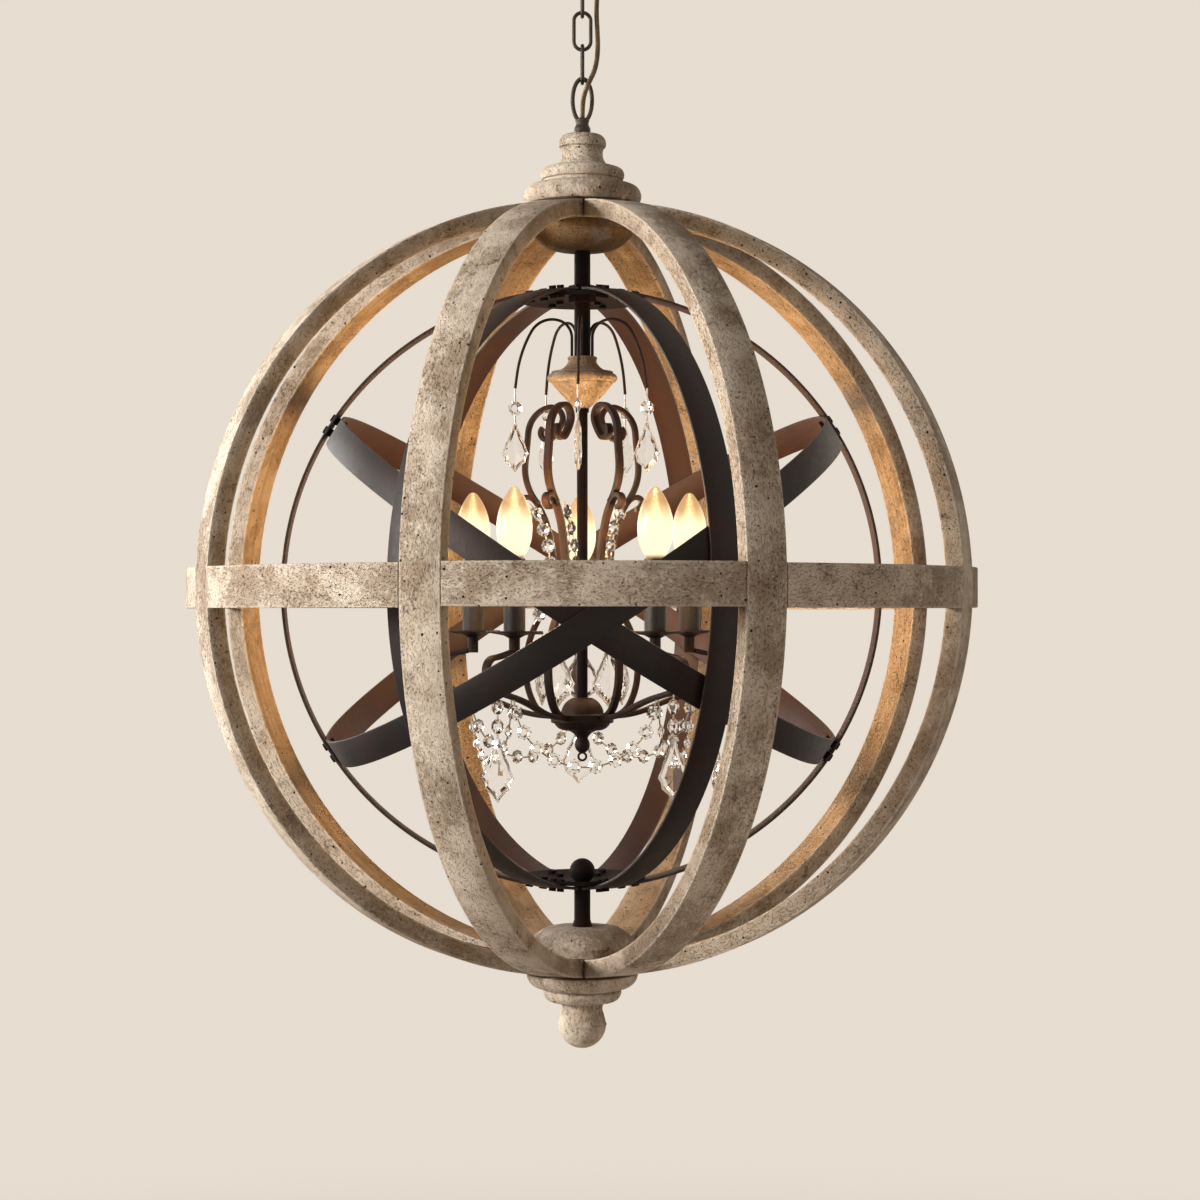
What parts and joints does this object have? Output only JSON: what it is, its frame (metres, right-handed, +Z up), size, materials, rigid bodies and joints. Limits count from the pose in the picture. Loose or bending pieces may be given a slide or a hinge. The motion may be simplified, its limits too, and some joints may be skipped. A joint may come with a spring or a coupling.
{
  "type": "globe chandelier",
  "caption": "Hanging lamp: a globe of whitewashed wooden ribs round an iron armillary and a small crystal chandelier with candle lights, on a chain and ceiling canopy.",
  "frame": {"origin": "on the ceiling plane, midway between the two box screws, above the lamp's axis", "axes": "+Z up along the lamp's axis, -Y the pictured front, +X along the bracket to the viewer's right"},
  "size_m": [0.7998, 0.7998, 1.1555],
  "materials": {
    "whitewashed_wood": "limewashed over worn, worm-holed wood, matt",
    "plain_wood": "plain turned dowel",
    "dark_iron": "dark rust-brown iron, matt",
    "aged_bronze": "dark aged bronze",
    "plated_steel": "zinc-plated",
    "crystal": "clear faceted crystal",
    "bulb_glass": "warm lit candle bulb",
    "dark_sleeve": "dark brown candle sleeve, matt",
    "socket_plastic": "black lampholder",
    "cord_sleeve": "translucent brown two-core cord"
  },
  "bodies": {
    "ceiling": {"ceiling_canopy": "aged_bronze", "mounting_bracket": "plated_steel", "canopy_nipple": "plated_steel", "canopy_loop": "aged_bronze"},
    "lamp": {"ball_nut": "dark_iron", "band_dowels": "plain_wood", "band_segments": "whitewashed_wood", "bead_garlands": "crystal", "bottom_bowl": "dark_iron", "bottom_dish": "whitewashed_wood", "bottom_finial": "whitewashed_wood", "bottom_hub": "dark_iron", "cage_fasteners": "dark_iron", "candle_sleeves": "dark_sleeve", "drip_pans": "dark_iron", "lamp_loop": "aged_bronze", "lampholders": "socket_plastic", "lower_stem": "dark_iron", "meridian_hoops": "dark_iron", "rib_1": "whitewashed_wood", "rib_2": "whitewashed_wood", "rib_3": "whitewashed_wood", "rib_4": "whitewashed_wood", "rib_5": "whitewashed_wood", "rib_6": "whitewashed_wood", "rib_7": "whitewashed_wood", "rib_8": "whitewashed_wood", "scroll_arms": "dark_iron", "spray_wires": "dark_iron", "stem_tube": "dark_iron", "supply_cord": "cord_sleeve", "tilted_ring_inner": "dark_iron", "tilted_ring_outer": "dark_iron", "top_dish": "whitewashed_wood", "top_finial": "whitewashed_wood", "top_hub": "dark_iron", "turned_spindle": "whitewashed_wood"},
    "link_1": {"chain_link_1": "aged_bronze"},
    "link_2": {"chain_link_2": "aged_bronze"},
    "link_3": {"chain_link_3": "aged_bronze"},
    "bulb_1": {"bulb_1": "bulb_glass"},
    "bulb_2": {"bulb_2": "bulb_glass"},
    "bulb_3": {"bulb_3": "bulb_glass"},
    "bulb_4": {"bulb_4": "bulb_glass"},
    "bulb_5": {"bulb_5": "bulb_glass"},
    "upper_pendant_1": {"upper_pendant_1": "crystal"},
    "upper_pendant_2": {"upper_pendant_2": "crystal"},
    "upper_pendant_3": {"upper_pendant_3": "crystal"},
    "upper_pendant_4": {"upper_pendant_4": "crystal"},
    "upper_pendant_5": {"upper_pendant_5": "crystal"},
    "inner_pendant_1": {"inner_pendant_1": "crystal"},
    "inner_pendant_2": {"inner_pendant_2": "crystal"},
    "inner_pendant_3": {"inner_pendant_3": "crystal"},
    "inner_pendant_4": {"inner_pendant_4": "crystal"},
    "inner_pendant_5": {"inner_pendant_5": "crystal"},
    "lower_pendant_1": {"lower_pendant_1": "crystal"},
    "lower_pendant_2": {"lower_pendant_2": "crystal"},
    "lower_pendant_3": {"lower_pendant_3": "crystal"},
    "lower_pendant_4": {"lower_pendant_4": "crystal"},
    "lower_pendant_5": {"lower_pendant_5": "crystal"}
  },
  "joints": [
    {"name": "chain_swing_1", "type": "hinge", "parent": "ceiling", "child": "link_1", "pos_m": [0, 0, -0.0675], "axis": [1, 0, 0], "range_deg": [-20, 20], "deforming": ["supply_cord"]},
    {"name": "chain_swing_2", "type": "hinge", "parent": "link_1", "child": "link_2", "pos_m": [0, 0, -0.101], "axis": [0, 1, 0], "range_deg": [-20, 20], "deforming": ["supply_cord"]},
    {"name": "chain_swing_3", "type": "hinge", "parent": "link_2", "child": "link_3", "pos_m": [0, 0, -0.1351], "axis": [1, 0, 0], "range_deg": [-20, 20], "deforming": ["supply_cord"]},
    {"name": "chain_swing_4", "type": "hinge", "parent": "link_3", "child": "lamp", "pos_m": [0, 0, -0.1692], "axis": [0, 1, 0], "range_deg": [-20, 20], "deforming": ["supply_cord"]},
    {"name": "bulb_1_out", "type": "slide", "parent": "lamp", "child": "bulb_1", "axis": [0, 0, 1], "range_m": [0, 0.026]},
    {"name": "bulb_2_out", "type": "slide", "parent": "lamp", "child": "bulb_2", "axis": [0, 0, 1], "range_m": [0, 0.026]},
    {"name": "bulb_3_out", "type": "slide", "parent": "lamp", "child": "bulb_3", "axis": [0, 0, 1], "range_m": [0, 0.026]},
    {"name": "bulb_4_out", "type": "slide", "parent": "lamp", "child": "bulb_4", "axis": [0, 0, 1], "range_m": [0, 0.026]},
    {"name": "bulb_5_out", "type": "slide", "parent": "lamp", "child": "bulb_5", "axis": [0, 0, 1], "range_m": [0, 0.026]},
    {"name": "upper_pendant_1_swing", "type": "hinge", "parent": "lamp", "child": "upper_pendant_1", "pos_m": [-0.00614, -0.07014, -0.4834], "axis": [0.9962, -0.0872, 0], "range_deg": [-15, 15]},
    {"name": "upper_pendant_2_swing", "type": "hinge", "parent": "lamp", "child": "upper_pendant_2", "pos_m": [0.06481, -0.02751, -0.4834], "axis": [0.3907, 0.9205, 0], "range_deg": [-15, 15]},
    {"name": "upper_pendant_3_swing", "type": "hinge", "parent": "lamp", "child": "upper_pendant_3", "pos_m": [0.04619, 0.05314, -0.4834], "axis": [-0.7547, 0.6561, 0], "range_deg": [-15, 15]},
    {"name": "upper_pendant_4_swing", "type": "hinge", "parent": "lamp", "child": "upper_pendant_4", "pos_m": [-0.03626, 0.06035, -0.4834], "axis": [-0.8572, -0.515, 0], "range_deg": [-15, 15]},
    {"name": "upper_pendant_5_swing", "type": "hinge", "parent": "lamp", "child": "upper_pendant_5", "pos_m": [-0.06861, -0.01584, -0.4834], "axis": [0.225, -0.9744, 0], "range_deg": [-15, 15]},
    {"name": "inner_pendant_1_swing", "type": "hinge", "parent": "lamp", "child": "inner_pendant_1", "pos_m": [0.02527, -0.03478, -0.73239], "axis": [0.809, 0.5878, 0], "range_deg": [-2, 15]},
    {"name": "inner_pendant_2_swing", "type": "hinge", "parent": "lamp", "child": "inner_pendant_2", "pos_m": [0.04089, 0.01329, -0.73239], "axis": [-0.309, 0.9511, 0], "range_deg": [-2, 15]},
    {"name": "inner_pendant_3_swing", "type": "hinge", "parent": "lamp", "child": "inner_pendant_3", "pos_m": [0, 0.04299, -0.73239], "axis": [-1, 0, 0], "range_deg": [-2, 15]},
    {"name": "inner_pendant_4_swing", "type": "hinge", "parent": "lamp", "child": "inner_pendant_4", "pos_m": [-0.04089, 0.01329, -0.73239], "axis": [-0.309, -0.9511, 0], "range_deg": [-2, 15]},
    {"name": "inner_pendant_5_swing", "type": "hinge", "parent": "lamp", "child": "inner_pendant_5", "pos_m": [-0.02527, -0.03478, -0.73239], "axis": [0.809, -0.5878, 0], "range_deg": [-2, 15]},
    {"name": "lower_pendant_1_swing", "type": "hinge", "parent": "lamp", "child": "lower_pendant_1", "pos_m": [0.08581, -0.11811, -0.7912], "axis": [0.809, 0.5878, 0], "range_deg": [-12, 12]},
    {"name": "lower_pendant_2_swing", "type": "hinge", "parent": "lamp", "child": "lower_pendant_2", "pos_m": [0.13885, 0.04511, -0.7912], "axis": [-0.309, 0.9511, 0], "range_deg": [-12, 12]},
    {"name": "lower_pendant_3_swing", "type": "hinge", "parent": "lamp", "child": "lower_pendant_3", "pos_m": [0, 0.14599, -0.7912], "axis": [-1, 0, 0], "range_deg": [-12, 12]},
    {"name": "lower_pendant_4_swing", "type": "hinge", "parent": "lamp", "child": "lower_pendant_4", "pos_m": [-0.13885, 0.04511, -0.7912], "axis": [-0.309, -0.9511, 0], "range_deg": [-12, 12]},
    {"name": "lower_pendant_5_swing", "type": "hinge", "parent": "lamp", "child": "lower_pendant_5", "pos_m": [-0.08581, -0.11811, -0.7912], "axis": [0.809, -0.5878, 0], "range_deg": [-12, 12]}
  ]
}
